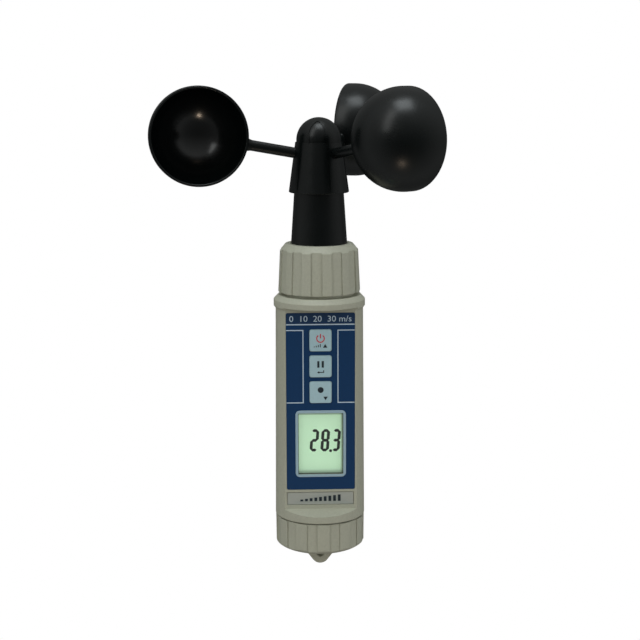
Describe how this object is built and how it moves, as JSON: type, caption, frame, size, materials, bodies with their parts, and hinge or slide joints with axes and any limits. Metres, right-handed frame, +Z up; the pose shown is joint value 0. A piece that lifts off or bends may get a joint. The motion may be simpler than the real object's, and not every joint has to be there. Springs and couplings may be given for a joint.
{
  "type": "cup anemometer",
  "caption": "Handheld cup anemometer: round handle with front display, keys and battery cap, and a free-turning rotor of hemispherical cups on a sensor column.",
  "frame": {"origin": "on the handle's axis at the middle of the grip", "axes": "+Z up along the handle and the rotor shaft, -Y out of the front panel, +X to the reader's right"},
  "size_m": [0.1261, 0.1364, 0.2218],
  "materials": {
    "handle_beige": "satin moulded beige plastic",
    "collar_grip": "satin ribbed beige plastic",
    "rotor_black": "semi-gloss moulded black plastic",
    "panel_blue": "printed blue film",
    "key_grey": "pale grey keys",
    "frame_silver": "silver-blue band",
    "plate_metal": "satin plate",
    "lens_clear": "clear window",
    "lcd_green": "grey-green display",
    "backlight_white": "light guide",
    "holder_white": "moulded white plastic",
    "board_green": "solder-resist green",
    "chip_black": "moulded black epoxy",
    "steel_bright": "bright steel",
    "brass_nickel": "plated spring metal",
    "magnet_dark": "sintered magnet",
    "rubber_black": "seal rubber",
    "rubber_grey": "conductive rubber",
    "cradle_black": "moulded black plastic",
    "cell_jacket": "plain cell jacket",
    "lead_grey": "wire insulation",
    "cage_nylon": "nylon cage"
  },
  "bodies": {
    "handle": {"barrel": "handle_beige", "front_overlay": "panel_blue", "window_frame": "frame_silver", "window_lens": "lens_clear", "window_gasket": "rubber_black", "name_plate": "plate_metal", "main_board": "board_green", "board_screws": "steel_bright", "board_parts": "steel_bright", "key_switches": "chip_black", "controller_chip": "chip_black", "lcd_glass": "lcd_green", "lcd_backlight": "backlight_white", "lcd_holder": "holder_white", "contact_strips": "rubber_grey", "battery_cradle": "cradle_black", "battery_cells": "cell_jacket", "battery_contacts": "brass_nickel", "battery_leads": "lead_grey", "sensor_lead": "lead_grey", "lead_socket": "holder_white", "cap_seal": "rubber_black", "sensor_column": "rotor_black", "column_seal": "rubber_black", "bearing_retainer": "steel_bright", "hall_board": "board_green", "hall_sensor": "chip_black", "lower_outer_race": "steel_bright", "upper_outer_race": "steel_bright"},
    "power_key": {"power_key": "key_grey"},
    "hold_key": {"hold_key": "key_grey"},
    "record_key": {"record_key": "key_grey"},
    "ring_washer": {"ring_washer": "cage_nylon"},
    "coupling_ring": {"coupling_ring": "collar_grip"},
    "contact_carrier": {"contact_disc": "board_green", "battery_springs": "brass_nickel"},
    "battery_cap": {"battery_cap": "collar_grip", "cap_rivet": "steel_bright"},
    "rotor": {"rotor_shaft": "steel_bright", "shaft_clip": "steel_bright", "bearing_spacer": "steel_bright", "magnet_ring": "magnet_dark", "rotor_hub": "rotor_black", "rotor_cap": "rotor_black", "hub_nut": "steel_bright", "arm_1": "rotor_black", "arm_2": "rotor_black", "arm_3": "rotor_black", "cup_1": "rotor_black", "cup_2": "rotor_black", "cup_3": "rotor_black", "lower_inner_race": "steel_bright", "upper_inner_race": "steel_bright"},
    "lower_cage": {"lower_bearing_balls": "steel_bright", "lower_bearing_cage": "cage_nylon"},
    "upper_cage": {"upper_bearing_balls": "steel_bright", "upper_bearing_cage": "cage_nylon"}
  },
  "joints": [
    {"name": "rotor_spin", "type": "hinge", "parent": "handle", "child": "rotor", "pos_m": [0, 0, 0.095], "axis": [0, 0, 1], "continuous": true},
    {"name": "lower_cage_spin", "type": "hinge", "parent": "handle", "child": "lower_cage", "pos_m": [0, 0, 0.086], "axis": [0, 0, 1], "continuous": true},
    {"name": "upper_cage_spin", "type": "hinge", "parent": "handle", "child": "upper_cage", "pos_m": [0, 0, 0.108], "axis": [0, 0, 1], "continuous": true},
    {"name": "power_key_press", "type": "slide", "parent": "handle", "child": "power_key", "axis": [0, 1, 0], "range_m": [0, 0.0004], "stiffness_N_per_m": 2500, "springref_m": -0.0002},
    {"name": "hold_key_press", "type": "slide", "parent": "handle", "child": "hold_key", "axis": [0, 1, 0], "range_m": [0, 0.0004], "stiffness_N_per_m": 2500, "springref_m": -0.0002},
    {"name": "record_key_press", "type": "slide", "parent": "handle", "child": "record_key", "axis": [0, 1, 0], "range_m": [0, 0.0004], "stiffness_N_per_m": 2500, "springref_m": -0.0002},
    {"name": "ring_lift", "type": "slide", "parent": "handle", "child": "ring_washer", "axis": [0, 0, 1], "range_m": [0, 0.0045]},
    {"name": "ring_turn", "type": "hinge", "parent": "ring_washer", "child": "coupling_ring", "pos_m": [0, 0, 0.06], "axis": [0, 0, 1], "range_deg": [0, 1080]},
    {"name": "cap_drop", "type": "slide", "parent": "handle", "child": "contact_carrier", "axis": [0, 0, -1], "range_m": [0, 0.00825]},
    {"name": "cap_turn", "type": "hinge", "parent": "contact_carrier", "child": "battery_cap", "pos_m": [0, 0, -0.058], "axis": [0, 0, -1], "range_deg": [0, 1980]}
  ],
  "couplings": [
    {"joint": "lower_cage_spin", "follows": "rotor_spin", "ratio": 0.37785},
    {"joint": "upper_cage_spin", "follows": "rotor_spin", "ratio": 0.37785},
    {"joint": "ring_lift", "follows": "ring_turn", "m_per_rad": 0.00023873},
    {"joint": "cap_drop", "follows": "cap_turn", "m_per_rad": 0.00023873}
  ]
}
